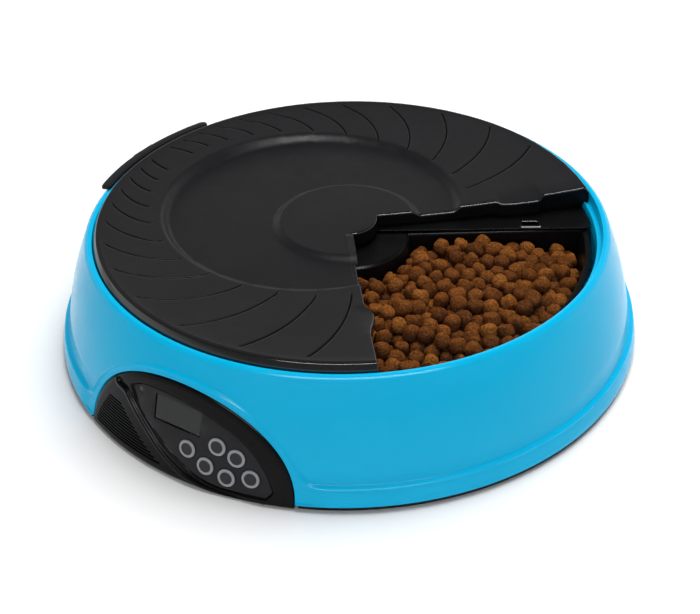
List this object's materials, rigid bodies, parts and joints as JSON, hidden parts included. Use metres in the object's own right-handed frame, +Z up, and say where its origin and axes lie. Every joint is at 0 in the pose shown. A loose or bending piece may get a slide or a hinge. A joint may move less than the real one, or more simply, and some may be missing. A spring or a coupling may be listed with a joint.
{
  "type": "automatic pet feeder",
  "caption": "Round timed pet feeder: blue base with a turning compartment tray under a dark lid with one open sector, and a half-oval control panel on the front.",
  "frame": {"origin": "centre of the plane the feet rest on", "axes": "+Z up, the control panel faces -Y, the lid latch is at -X and the feeding opening faces +X"},
  "size_m": [0.3224, 0.3227, 0.0685],
  "materials": {
    "shell_blue": "glossy",
    "base_black": "matte",
    "foot_rubber": "matte",
    "screw_steel": "zinc plated",
    "cell_jacket": "satin",
    "contact_steel": "plain",
    "panel_black": "satin",
    "label_grey": "matte",
    "window_clear": "clear",
    "display_green": "glossy",
    "part_white": "matte",
    "lamp_clear": "clear",
    "button_grey": "satin",
    "board_green": "satin",
    "part_black": "matte",
    "part_steel": "plain",
    "cone_paper": "matte",
    "magnet_grey": "plain",
    "gear_white": "satin",
    "magnet_steel": "plated",
    "shaft_steel": "plain",
    "motor_steel": "plain",
    "case_grey": "matte",
    "bush_white": "satin",
    "tray_black": "glossy",
    "kibble_brown": "matte",
    "lid_black": "satin",
    "latch_black": "matte",
    "lead_red": "matte",
    "lead_black": "matte"
  },
  "bodies": {
    "housing": {"outer_shell": "shell_blue", "base_plate": "base_black", "rubber_feet": "foot_rubber", "base_screws": "screw_steel", "battery_cells": "cell_jacket", "battery_springs": "contact_steel", "battery_contacts": "contact_steel", "panel_bezel": "panel_black", "control_label": "label_grey", "display_window": "window_clear", "display_glass": "display_green", "display_holder": "part_white", "status_lamp": "lamp_clear", "control_board": "board_green", "key_switches": "part_black", "board_components": "part_black", "microphone": "part_steel", "speaker_frame": "part_steel", "speaker_cone": "cone_paper", "speaker_magnet": "magnet_grey", "idler_axle": "shaft_steel", "drive_motor": "motor_steel", "gearbox_case": "case_grey", "gearbox_plate": "case_grey", "gearbox_screws": "screw_steel", "spindle_bush": "bush_white", "position_sensor": "board_green", "latch_pin": "shaft_steel", "latch_spring": "contact_steel", "battery_lead": "lead_red", "motor_lead": "lead_red", "speaker_lead": "lead_black"},
    "tray": {"food_tray": "tray_black", "kibble_fill": "kibble_brown", "drive_spindle": "gear_white", "output_gear": "gear_white", "index_magnets": "magnet_steel"},
    "idler": {"idler_gear": "gear_white"},
    "pinion": {"motor_pinion": "gear_white", "motor_shaft": "shaft_steel"},
    "lid": {"lid_cover": "lid_black", "lid_guard": "lid_black"},
    "latch": {"lid_latch": "latch_black"},
    "door": {"battery_door": "base_black"},
    "button_upper_left": {"button_upper_left": "button_grey"},
    "button_upper_middle": {"button_upper_middle": "button_grey"},
    "button_upper_right": {"button_upper_right": "button_grey"},
    "button_lower_left": {"button_lower_left": "button_grey"},
    "button_lower_middle": {"button_lower_middle": "button_grey"},
    "button_lower_right": {"button_lower_right": "button_grey"}
  },
  "joints": [
    {"name": "tray_spin", "type": "hinge", "parent": "housing", "child": "tray", "pos_m": [0, 0, 0.0235], "axis": [0, 0, 1], "continuous": true},
    {"name": "idler_spin", "type": "hinge", "parent": "housing", "child": "idler", "pos_m": [-0.0245, 0.01356, 0.012], "axis": [0, 0, 1], "continuous": true},
    {"name": "pinion_spin", "type": "hinge", "parent": "housing", "child": "pinion", "pos_m": [-0.01299, -0.0075, 0.0154], "axis": [0, 0, 1], "continuous": true},
    {"name": "lid_lift", "type": "slide", "parent": "housing", "child": "lid", "axis": [0, 0, 1], "range_m": [0, 0.06]},
    {"name": "latch_pivot", "type": "hinge", "parent": "housing", "child": "latch", "pos_m": [-0.1524, 0, 0.047], "axis": [0, -1, 0], "range_deg": [0, 14], "stiffness_Nm_per_rad": 0.2},
    {"name": "door_slide", "type": "slide", "parent": "housing", "child": "door", "axis": [1, 0, 0], "range_m": [0, 0.006]},
    {"name": "button_upper_left_press", "type": "slide", "parent": "housing", "child": "button_upper_left", "axis": [-0.0419, 0.9608, -0.2741], "range_m": [0, 0.0007], "stiffness_N_per_m": 500},
    {"name": "button_upper_middle_press", "type": "slide", "parent": "housing", "child": "button_upper_middle", "axis": [-0.1422, 0.9511, -0.2741], "range_m": [0, 0.0007], "stiffness_N_per_m": 500},
    {"name": "button_upper_right_press", "type": "slide", "parent": "housing", "child": "button_upper_right", "axis": [-0.2049, 0.9396, -0.2741], "range_m": [0, 0.0007], "stiffness_N_per_m": 500},
    {"name": "button_lower_left_press", "type": "slide", "parent": "housing", "child": "button_lower_left", "axis": [-0.1072, 0.9557, -0.2741], "range_m": [0, 0.0007], "stiffness_N_per_m": 500},
    {"name": "button_lower_middle_press", "type": "slide", "parent": "housing", "child": "button_lower_middle", "axis": [-0.1769, 0.9453, -0.2741], "range_m": [0, 0.0007], "stiffness_N_per_m": 500},
    {"name": "button_lower_right_press", "type": "slide", "parent": "housing", "child": "button_lower_right", "axis": [-0.2505, 0.9285, -0.2741], "range_m": [0, 0.0007], "stiffness_N_per_m": 500}
  ],
  "couplings": [
    {"joint": "idler_spin", "follows": "tray_spin", "ratio": -3.6667},
    {"joint": "pinion_spin", "follows": "tray_spin", "ratio": 11}
  ]
}
